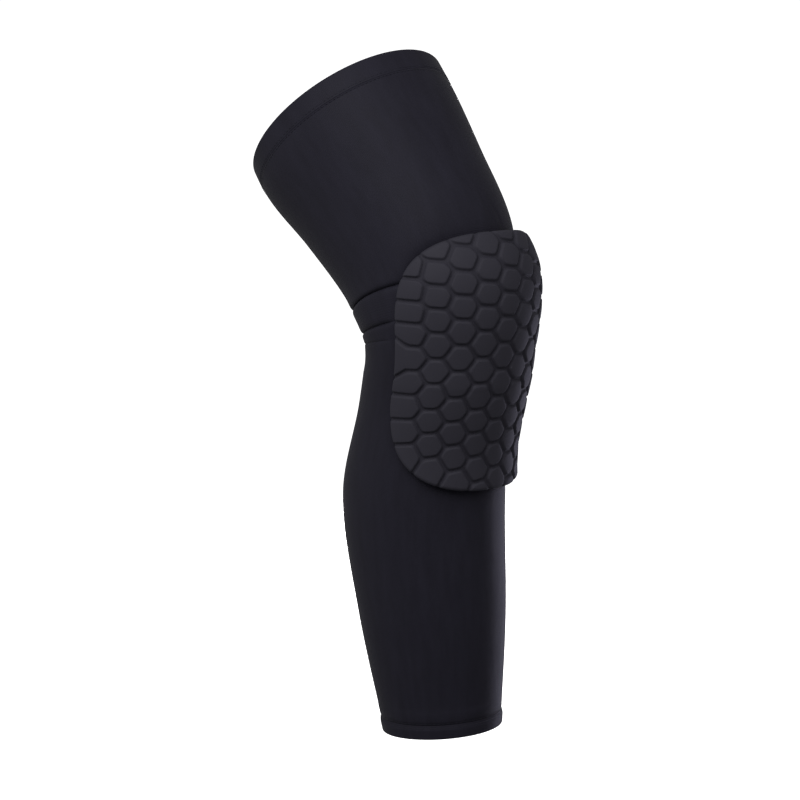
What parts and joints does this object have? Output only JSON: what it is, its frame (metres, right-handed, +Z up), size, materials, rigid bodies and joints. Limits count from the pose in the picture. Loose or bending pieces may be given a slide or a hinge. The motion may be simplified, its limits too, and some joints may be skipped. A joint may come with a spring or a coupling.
{
  "type": "padded knee brace",
  "caption": "Long close-fitting knitted knee brace shaped to a bent leg, open from thigh to ankle, with folded hems and a thick honeycomb foam pad over the kneecap.",
  "frame": {"origin": "middle of the knee, on the leg's centre line half way round the bend", "axes": "+Z up along the upright shin, -Y forwards out of the kneecap, X across the knee; the thigh leans back towards +Y"},
  "size_m": [0.1552, 0.2435, 0.5214],
  "materials": {
    "knit": "fine black stretch knit with a soft sheen",
    "hem_knit": "doubled black stretch knit, turned and sewn",
    "pad_foam": "matt black moulded closed-cell foam"
  },
  "bodies": {
    "root": {"sleeve": "knit", "thigh_hem": "hem_knit", "ankle_hem": "hem_knit", "knee_pad": "pad_foam"}
  },
  "joints": []
}
